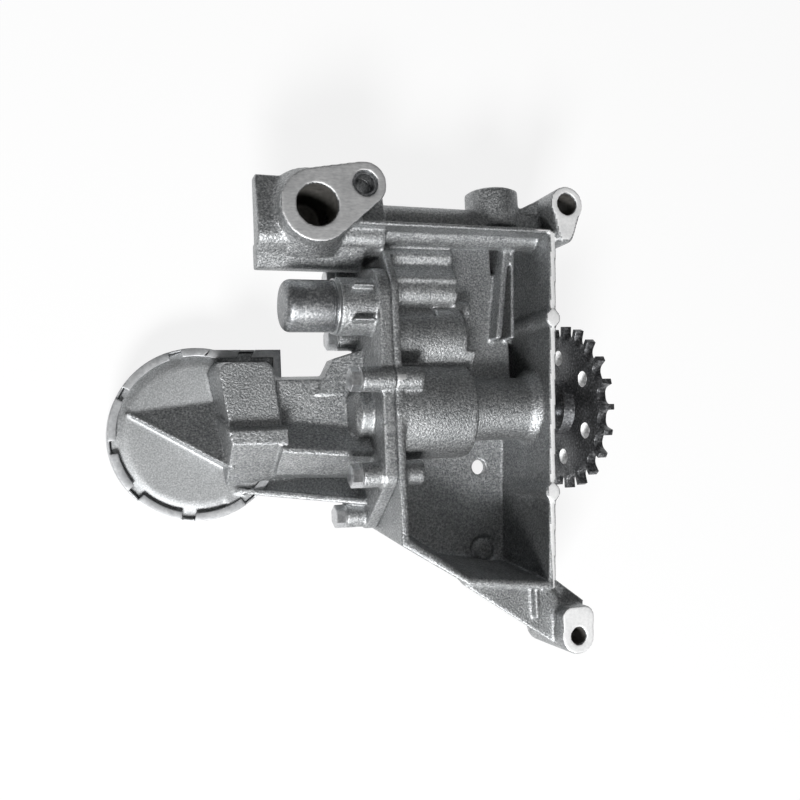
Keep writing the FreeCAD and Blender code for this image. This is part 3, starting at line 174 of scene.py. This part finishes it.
turnedSteel = {
    # turned screw cap, dull and slightly pitted
    "colours": [(0.35, "77797b"), (0.5, "929496"), (0.66, "c4c5c6")],
    "rough": (0.4, 0.54), "grainMm": 0.9, "patchMm": 9.0, "depthMm": 0.12,
    "strength": 0.6, "patchShare": 0.25,
}
zincScrew = {
    # cold-headed screws with a bright zinc coat
    "colours": [(0.35, "b4b6b8"), (0.65, "e0e1e2")],
    "rough": (0.3, 0.42), "grainMm": 0.9, "patchMm": 5.0, "depthMm": 0.05,
}
sinteredSteel = {
    # pressed and sintered rotors: fine open grain
    "colours": [(0.35, "4e5053"), (0.65, "6c6e71")],
    "rough": (0.45, 0.58), "grainMm": 0.4, "patchMm": 8.0, "depthMm": 0.03,
}
bronze = {
    # sintered bronze bush, brown with oil
    "colours": [(0.35, "7d5c33"), (0.65, "a8804a")],
    "rough": (0.32, 0.44), "grainMm": 0.6, "patchMm": 7.0, "depthMm": 0.02,
}
springWire = {
    # drawn and oil-tempered wire
    "colours": [(0.35, "3e4043"), (0.65, "5d5f63")],
    "rough": (0.3, 0.4), "grainMm": 0.8, "patchMm": 6.0, "depthMm": 0.01,
}
softAluminium = {
    # soft sealing washer, stamped
    "colours": [(0.35, "a6a8aa"), (0.65, "c8cacb")],
    "rough": (0.34, 0.46), "grainMm": 0.7, "patchMm": 6.0, "depthMm": 0.02,
}
finishes = {
    "cast": makeMetal("sandCastAluminium", sandCast),
    "plateFace": makeMetal("palePlateAluminium", plateFace),
    "paintedBoreShade": makeMetal("boreShadeFinish", paintedBoreShade),
    "milled": makeMetal("milledAluminium", milled),
    "spotFaced": makeMetal("spotFacedAluminium", spotFaced),
    "zincSheet": makeMetal("zincPlatedSheet", zincSheet),
    "woven": makeMetal("wovenWire", wovenWire),
    "hardened": makeMetal("caseHardenedSteel", hardenedSteel),
    "ground": makeMetal("groundSteel", groundSteel),
    "turned": makeMetal("turnedSteel", turnedSteel),
    "zincScrew": makeMetal("zincPlatedScrew", zincScrew),
    "sintered": makeMetal("sinteredSteel", sinteredSteel),
    "bronze": makeMetal("bearingBronze", bronze),
    "springWire": makeMetal("springWire", springWire),
    "softWasher": makeMetal("softAluminiumWasher", softAluminium),
}
nodeFinish = {
    "pump_housing": "cast", "pump_cover": "cast", "cover_screws": "zincScrew", "cover_pins": "ground",
    "strainer_bowl": "zincSheet", "strainer_screen": "woven",
    "outlet_sleeve": "turned", "gallery_plug": "zincSheet",
    "relief_piston": "ground", "relief_spring": "springWire",
    "relief_cap": "turned", "relief_cap_seal": "softWasher",
    "inner_rotor": "sintered", "outer_rotor": "sintered", "rotor_pin": "ground",
    "drive_shaft": "ground", "front_bush": "bronze", "rear_bush": "bronze",
    "sprocket": "hardened", "sprocket_washer": "zincScrew", "sprocket_bolt": "zincScrew",
}
for nodeName, finish in nodeFinish.items():
    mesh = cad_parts[nodeName].data
    mesh.materials.clear()
    mesh.materials.append(finishes[finish])
print("materials made:", len(finishes))


# Pieces

def mergedCopy(nodeName, name):
    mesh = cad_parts[nodeName].data.copy()
    mesh.name = name
    bm = bmesh.new()
    bm.from_mesh(mesh)
    bmesh.ops.remove_doubles(bm, verts=bm.verts, dist=0.001 * mm)
    bmesh.ops.recalc_face_normals(bm, faces=bm.faces)
    bm.to_mesh(mesh)
    bm.free()
    piece = bpy.data.objects.new(name, mesh)
    bpy.context.scene.collection.objects.link(piece)
    return piece


def applyModifiers(piece):
    evaluated = piece.evaluated_get(bpy.context.evaluated_depsgraph_get())
    finished = bpy.data.meshes.new_from_object(evaluated)
    piece.modifiers.clear()
    piece.data = finished
    return finished


def pieceFromBmesh(bm, name, finish, body, nodeName, sharpDegrees):
    bmesh.ops.recalc_face_normals(bm, faces=bm.faces)
    mesh = bpy.data.meshes.new(name)
    bm.to_mesh(mesh)
    bm.free()
    mesh.shade_smooth()
    mesh.set_sharp_from_angle(angle=math.radians(sharpDegrees))
    mesh.materials.append(finishes[finish])
    piece = bpy.data.objects.new(name, mesh)
    bpy.context.scene.collection.objects.link(piece)
    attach(piece, body)
    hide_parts(nodeName)
    print(name, len(mesh.polygons), "faces")
    return piece


# Castings: the solids' faces get the soft skin of a sand casting, with the small webs and fillings
# that run out into it added first. Places and lengths are in mm.

castSlots = ["cast", "milled", "spotFaced", "plateFace", "paintedBoreShade"]

housingCasting = {
    "node": "pump_housing", "voxel": 0.6, "keep": 0.4, "smoothing": 7,
    # prisms: plane of the outline, outline, start and length along the third axis
    "prisms": [
        # filling under the lip of the outlet block
        ("YZ", [(66.0, 13.4), (56.1, 2.2), (56.1, -3.0), (66.0, -3.0)], -131.6, 42.0),
        # web from the upper bolt boss down to its lobe, hollowed round the bolt hole
        ("XY", [(-13.0, 80.0), (-11.0, 80.0), (-9.6, 78.6), (-8.0, 77.6), (-6.3, 77.3), (-4.6, 77.6),
                (-3.0, 78.6), (-1.6, 80.0), (0.4, 80.0), (-1.6, 74.5), (-3.3, 69.9), (-4.4, 67.4),
                (-10.0, 67.4), (-10.9, 69.9)], 8.0, 12.9),
    ],
    # round ribs along X: start, radius, length
    "rounds": [((-83.0, 48.3, 1.8), 6.6, 32.0)],
    # the outlet flange is milled, the front wall's rim and bosses are spot faced: both only on top
    "facingUp": 0.95, "flangeAbove": 20.6, "flangeToX": -80.0, "rimAbove": 18.6, "wallFromX": -20.5,
    # outlet and both bolt holes, drawn with painted shade inside: centre, radius and lower end
    "bores": [(-111.4, 76.5, 7.95, -6.3), (-6.3, 82.2, 4.3, -9.8), (-11.5, -91.8, 3.3, -9.8)],
    "boreTop": 20.2, "boreMargin": 0.6,
}
coverCasting = {
    "node": "pump_cover", "voxel": 0.5, "keep": 0.5, "smoothing": 5,
    "prisms": [
        # two ribs on the relief valve's boss
        ("XY", [(-98.5, 46.6), (-90.0, 46.6), (-90.0, 47.9), (-98.5, 47.9)], 4.0, 16.2),
        ("XY", [(-98.5, 33.6), (-90.0, 33.6), (-90.0, 34.9), (-98.5, 34.9)], 4.0, 16.4),
        # filling behind the hood's wall, where the web runs into it
        ("XY", [(-144.6, 8.0), (-142.0, -8.0), (-138.5, -8.0), (-138.5, 8.0)], -17.0, 15.0),
    ],
    "rounds": [],
    # corners of the web's wide sloping back on the strainer's plate
    "wedge": [(-178.0, 3.0, -18.2), (-141.0, -19.8, -18.6), (-141.0, -19.8, -4.9), (-141.0, 8.0, -18.6)],
    # the plate: centre, height, and the ring over which its edge falls away, left of the hood
    "plate": (-152.5, -5.5), "plateTop": -18.5, "plateRadius": 33.0, "facingUp": 0.8,
    "slopeFrom": 27.2, "slopeTo": 30.4, "slopeDrop": 1.25, "slopeToX": -142.0,
    "slopeBand": (-1.5, 0.4), "finishBand": (-1.6, 0.3),
}


def addPrism(bm, plane, outline, start, length):
    corners = []
    for u, v in outline:
        corners.append(bm.verts.new(Vector((u, v, start) if plane == "XY" else (start, u, v)) * mm))
    face = bm.faces.new(corners)
    grown = bmesh.ops.extrude_face_region(bm, geom=[face])["geom"]
    moved = [part for part in grown if isinstance(part, bmesh.types.BMVert)]
    bmesh.ops.translate(bm, verts=moved, vec=Vector((0, 0, length) if plane == "XY" else (length, 0, 0)) * mm)


def addToCasting(piece, facts):
    bm = bmesh.new()
    bm.from_mesh(piece.data)
    for plane, outline, start, length in facts["prisms"]:
        addPrism(bm, plane, outline, start, length)
    for start, radius, length in facts["rounds"]:
        centre = Vector(start) + Vector((length / 2, 0, 0))
        placed = Matrix.Translation(centre * mm) @ Matrix.Rotation(math.pi / 2, 4, "Y")
        bmesh.ops.create_cone(bm, cap_ends=True, segments=48, radius1=radius * mm, radius2=radius * mm,
                              depth=length * mm, matrix=placed)
    if "wedge" in facts:
        corners = [bm.verts.new(Vector(corner) * mm) for corner in facts["wedge"]]
        bmesh.ops.convex_hull(bm, input=corners)
    bmesh.ops.recalc_face_normals(bm, faces=bm.faces)
    bm.to_mesh(piece.data)
    bm.free()


def softCasting(name, facts):
    piece = mergedCopy(facts["node"], name)
    addToCasting(piece, facts)
    skin = piece.modifiers.new("skin", "REMESH")
    skin.mode = "VOXEL"
    skin.voxel_size = facts["voxel"] * mm
    soften = piece.modifiers.new("soften", "SMOOTH")
    soften.factor = 0.5
    soften.iterations = facts["smoothing"]
    thin = piece.modifiers.new("thin", "DECIMATE")
    thin.ratio = facts["keep"]
    mesh = applyModifiers(piece)
    mesh.materials.clear()
    for finish in castSlots:
        mesh.materials.append(finishes[finish])
    mesh.shade_smooth()
    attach(piece, "pump_body")
    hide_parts(facts["node"])
    print(name, len(mesh.polygons), "faces")
    return piece


def markHousing(piece, facts):
    for face in piece.data.polygons:
        x, y, z = face.center / mm
        inBore = any(math.hypot(x - boreX, y - boreY) < radius + facts["boreMargin"] and z > lowEnd
                     for boreX, boreY, radius, lowEnd in facts["bores"])
        # painted shade on the walls inside the holes
        if inBore and z < facts["boreTop"]:
            face.material_index = castSlots.index("paintedBoreShade")
        elif face.normal.z < facts["facingUp"]:
            continue
        elif z > facts["flangeAbove"] and x < facts["flangeToX"]:
            face.material_index = castSlots.index("milled")
        elif z > facts["rimAbove"] and x > facts["wallFromX"]:
            face.material_index = castSlots.index("spotFaced")


def slopePlate(piece, facts):
    # the plate falls away towards its edge, under the rolled rim of the bowl
    centre = Vector(facts["plate"])

    def near(z, band):
        return band[0] < z - facts["plateTop"] < band[1]

    for vertex in piece.data.vertices:
        x, y, z = vertex.co / mm
        away = (Vector((x, y)) - centre).length
        share = min(max((away - facts["slopeFrom"]) / (facts["slopeTo"] - facts["slopeFrom"]), 0), 1)
        if share and x < facts["slopeToX"] and near(z, facts["slopeBand"]):
            vertex.co.z -= facts["slopeDrop"] * share * mm
    for face in piece.data.polygons:
        x, y, z = face.center / mm
        onPlate = (Vector((x, y)) - centre).length < facts["plateRadius"]
        if onPlate and near(z, facts["finishBand"]) and face.normal.z > facts["facingUp"]:
            face.material_index = castSlots.index("plateFace")


housing = softCasting("housingCasting", housingCasting)
markHousing(housing, housingCasting)
cover = softCasting("coverCasting", coverCasting)
slopePlate(cover, coverCasting)


# Cover screws: hexagon heads with a chamfer, a flange, and a plain shank

coverScrew = {
    "across": 8.0, "head": 3.9, "headInFlange": 0.3, "headChamfer": 0.55,
    "flangeRadius": 4.8, "flangeInner": 1.0, "flange": 0.8, "flangeEdge": 0.45, "flangeSlope": 0.5,
    "shankRadius": 2.5, "shank": 22.0, "shankInFlange": 0.4, "tipLength": 0.6, "tipDrop": 0.5,
    # seat under the flanges, and each screw's y and z
    "seatX": -96.52, "places": [(12.0, 16.5), (-24.0, 12.5), (31.0, -14.0), (55.0, -13.0), (-40.6, -12.0)],
}


def turnProfile(bm, profile, y, z, steps):
    # profile: (x, radius) pairs, turned about the line along X through y, z; open ends are filled
    points = [bm.verts.new(Vector((x, y, z + radius)) * mm) for x, radius in profile]
    line = [bm.edges.new(pair) for pair in zip(points, points[1:])]
    bmesh.ops.spin(bm, geom=points + line, cent=Vector((0, y, z)) * mm, axis=(1, 0, 0),
                   angle=2 * math.pi, steps=steps, use_merge=True)
    bmesh.ops.holes_fill(bm, edges=[edge for edge in bm.edges if edge.is_boundary], sides=0)


def addHexHead(bm, x, y, z, across, height, chamfer):
    corner = across / 2 / math.cos(math.pi / 6)
    middle = Vector((x - height / 2, y, z)) * mm
    placed = Matrix.Translation(middle) @ Matrix.Rotation(-math.pi / 2, 4, "Y")
    made = bmesh.ops.create_cone(bm, cap_ends=True, segments=6, radius1=corner * mm, radius2=corner * mm,
                                 depth=height * mm, matrix=placed)["verts"]
    outer = [vertex for vertex in made if vertex.co.x < middle.x]
    edges = [edge for edge in bm.edges if edge.verts[0] in outer and edge.verts[1] in outer]
    bmesh.ops.bevel(bm, geom=edges, affect="EDGES", offset=chamfer * mm, segments=2, profile=0.5,
                    material=-1)


def makeCoverScrews():
    facts = coverScrew
    bm = bmesh.new()
    x, rim, stem = facts["seatX"], facts["flangeRadius"], facts["shankRadius"]
    top, end = x - facts["flange"], x + facts["shank"]
    flange = [(x, facts["flangeInner"]), (x, rim), (x - facts["flangeEdge"], rim),
              (top, rim - facts["flangeSlope"]), (top, facts["flangeInner"])]
    shank = [(x - facts["shankInFlange"], stem), (end - facts["tipLength"], stem),
             (end, stem - facts["tipDrop"])]
    for y, z in facts["places"]:
        turnProfile(bm, flange, y, z, 40)
        turnProfile(bm, shank, y, z, 24)
        addHexHead(bm, top + facts["headInFlange"], y, z, facts["across"], facts["head"],
                   facts["headChamfer"])
    return pieceFromBmesh(bm, "flangedScrews", "zincScrew", "pump_body", "cover_screws", 25)


makeCoverScrews()

# Relief valve cap: turned, with a rounded end and a shallow run-out groove by the washer

reliefCap = {
    # groove: start and end of its floor and its far edge, from its near edge
    "y": 41.0, "z": 7.0, "end": -123.5, "seat": -103.7, "radius": 10.0, "round": 3.4, "roundSteps": 8,
    "endFlat": 2.0, "threadRadius": 7.6, "threadEnd": -98.7,
    "groove": (0.4, 1.0, 1.4), "grooveFromSeat": 1.9, "grooveDepth": 0.5,
}


def makeReliefCap():
    facts = reliefCap
    end, seat, radius = facts["end"], facts["seat"], facts["radius"]
    groove, neck = seat - facts["grooveFromSeat"], radius - facts["grooveDepth"]
    floorFrom, floorTo, edge = facts["groove"]
    profile = [(end, facts["endFlat"])]
    for step in range(facts["roundSteps"] + 1):
        turn = math.pi / 2 * step / facts["roundSteps"]
        profile.append((end + facts["round"] * (1 - math.cos(turn)),
                        radius - facts["round"] * (1 - math.sin(turn))))
    profile += [(groove, radius), (groove + floorFrom, neck), (groove + floorTo, neck),
                (groove + edge, radius), (seat, radius),
                (seat, facts["threadRadius"]), (facts["threadEnd"], facts["threadRadius"])]
    bm = bmesh.new()
    turnProfile(bm, profile, facts["y"], facts["z"], 72)
    return pieceFromBmesh(bm, "reliefScrewCap", "turned", "pump_body", "relief_cap", 40)


makeReliefCap()

# Pressed and blanked parts keep the solids' shape and get broken edges

brokenEdges = {
    # node: width of the broken edge in mm, segments, body
    "strainer_bowl": (0.28, 3, "pump_body"),
    "sprocket": (0.22, 2, "drive_rotor"),
    "sprocket_washer": (0.2, 2, "drive_rotor"),
    "outlet_sleeve": (0.2, 2, "pump_body"),
    "gallery_plug": (0.5, 3, "pump_body"),
    "relief_cap_seal": (0.25, 2, "pump_body"),
}


# the walls of the wheel's holes, which get a painted highlight: distance from its middle plane, radii, and
# how far they may face along X
windows = {"within": 2.0, "from": 17.0, "to": 25.0, "sideways": 0.9}


def paintWindowHighlights(mesh):
    # painted highlight: the walls of the six lightening holes get the pale spot-faced finish, which stands in
    # for the light they catch
    mesh.materials.append(finishes["spotFaced"])
    for face in mesh.polygons:
        x, y, z = face.center / mm
        wall = abs(face.normal.x) < windows["sideways"] and abs(x) < windows["within"]
        if wall and windows["from"] < math.hypot(y, z) < windows["to"]:
            face.material_index = 1


def breakEdges(nodeName, widthMm, segments, body):
    name = "".join(word.capitalize() for word in nodeName.split("_"))
    piece = mergedCopy(nodeName, name[0].lower() + name[1:] + "Edged")
    edge = piece.modifiers.new("edge", "BEVEL")
    edge.width = widthMm * mm
    edge.segments = segments
    edge.limit_method = "ANGLE"
    edge.angle_limit = math.radians(38)    # finer facets of round walls stay whole
    edge.use_clamp_overlap = True
    mesh = applyModifiers(piece)
    mesh.shade_smooth()
    mesh.set_sharp_from_angle(angle=math.radians(32))
    mesh.materials.clear()
    mesh.materials.append(finishes[nodeFinish[nodeName]])
    if nodeName == "sprocket":
        paintWindowHighlights(mesh)
    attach(piece, body)
    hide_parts(nodeName)
    print(piece.name, len(mesh.polygons), "faces")


for nodeName, (widthMm, segments, body) in brokenEdges.items():
    breakEdges(nodeName, widthMm, segments, body)

# Strainer cloth: two sets of wires that pass over and under each other

cloth = {"x": -152.5, "y": -5.5, "z": -33.18, "radius": 32.4, "pitch": 1.45, "wireRadius": 0.14, "wave": 0.14}


def makeCloth():
    facts = cloth
    wires = bpy.data.curves.new("clothWires", "CURVE")
    wires.dimensions = "3D"
    wires.bevel_depth = facts["wireRadius"] * mm
    wires.bevel_resolution = 0
    wires.use_fill_caps = True
    half = facts["pitch"] / 2
    count = int(facts["radius"] / facts["pitch"])
    for direction in (0, 1):
        for line in range(-count, count + 1):
            across = line * facts["pitch"]
            steps = int(math.sqrt(facts["radius"] ** 2 - across ** 2) / half)
            wire = wires.splines.new("POLY")
            wire.points.add(2 * steps)
            for i, point in enumerate(wire.points):
                step = i - steps
                lift = facts["wave"] * math.cos(math.pi * (step / 2 + line + direction))
                u, v = (step * half, across) if direction == 0 else (across, step * half)
                point.co = (*(Vector((facts["x"] + u, facts["y"] + v, facts["z"] + lift)) * mm), 1)
    holder = bpy.data.objects.new("clothWires", wires)
    mesh = bpy.data.meshes.new_from_object(holder)
    bpy.data.objects.remove(holder)
    mesh.name = "strainerCloth"
    mesh.materials.clear()
    mesh.materials.append(finishes["woven"])
    piece = bpy.data.objects.new("strainerCloth", mesh)
    bpy.context.scene.collection.objects.link(piece)
    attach(piece, "pump_body")
    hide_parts("strainer_screen")
    print("strainerCloth", len(mesh.polygons), "faces")


makeCloth()


# Floor, lamps and camera

ground = {"size": 6.0, "gapMm": 0.1, "whiteShare": 0.86}   # the rest is matt and keeps the soft shadow


def makeFloor():
    material, tree, _ = startMaterial("paleGround")
    path = addNode(tree, "LightPath")
    seen = addNode(tree, "Math", {0: path.outputs["Is Camera Ray"], 1: path.outputs["Is Glossy Ray"]},
                   operation="MAXIMUM")
    seen = addNode(tree, "Math", {0: seen.outputs[0], 1: path.outputs["Is Transmission Ray"]},
                   operation="MAXIMUM")
    share = addNode(tree, "Math", {0: seen.outputs[0]}, operation="MULTIPLY")
    share.inputs[1].default_value = ground["whiteShare"]
    matt = addNode(tree, "BsdfDiffuse", Color=toLinear("fafafa"))
    glow = addNode(tree, "Emission", Color=toLinear("ffffff"), Strength=1.0)
    shader = addNode(tree, "MixShader", {0: share.outputs[0], 1: matt.outputs[0], 2: glow.outputs[0]})
    finishMaterial(tree, shader)
    bm = bmesh.new()
    bmesh.ops.create_grid(bm, x_segments=1, y_segments=1, size=ground["size"])
    bmesh.ops.translate(bm, verts=bm.verts, vec=(0, 0, cadBox[0].z - ground["gapMm"] * mm))
    mesh = bpy.data.meshes.new("ground")
    bm.to_mesh(mesh)
    bm.free()
    floor = bpy.data.objects.new("ground", mesh)
    mesh.materials.append(material)
    bpy.context.scene.collection.objects.link(floor)


makeFloor()

lamps = {
    # name: direction towards the lamp, distance, side, watts
    "keyLamp": ((-0.28, -0.69, 0.665), 1.3, 0.4, 24.0),
    "skyLamp": ((0.25, 0.15, 1.0), 1.5, 1.6, 0.6),
}
middle = (cadBox[0] + cadBox[1]) / 2
for name, (direction, distance, side, watts) in lamps.items():
    lamp = bpy.data.objects.new(name, bpy.data.lights.new(name, "AREA"))
    lamp.data.size = side
    lamp.data.energy = watts
    towards = Vector(direction).normalized()
    lamp.location = middle + towards * distance
    lamp.rotation_euler = towards.to_track_quat("Z", "Y").to_euler()
    bpy.context.scene.collection.objects.link(lamp)

world = bpy.data.worlds.new("studio")
world.use_nodes = True
world.node_tree.nodes["Background"].inputs["Color"].default_value = toLinear("f2f2f2")
world.node_tree.nodes["Background"].inputs["Strength"].default_value = 0.11
bpy.context.scene.world = world

# found by fitting the camera to the sprocket, the shaft's axis and the mounting faces
view = {
    "target": Vector((-75.0, 4.8, 0.0)) * mm,
    "away": Vector((-0.34202, -0.05234, 0.93823)),
    "distance": 352 * mm,
    "roll": math.radians(-2.5),
    "lens": 39.6,
}
away = view["away"].normalized()
flatRight = Vector((0, 1, 0)).cross(away).normalized()
flatUp = away.cross(flatRight)
right = math.cos(view["roll"]) * flatRight + math.sin(view["roll"]) * flatUp
up = -math.sin(view["roll"]) * flatRight + math.cos(view["roll"]) * flatUp
camera = bpy.data.objects.new("camera", bpy.data.cameras.new("camera"))
camera.data.lens = view["lens"]
camera.data.sensor_width = 36.0
camera.data.clip_start = 0.01
camera.data.clip_end = 50.0
camera.matrix_world = (Matrix.Translation(view["target"] + away * view["distance"])
                       @ Matrix((right, up, away)).transposed().to_4x4())
bpy.context.scene.collection.objects.link(camera)
bpy.context.scene.camera = camera
bpy.context.scene.view_settings.view_transform = "Standard"
print("stage, lamps and camera placed")
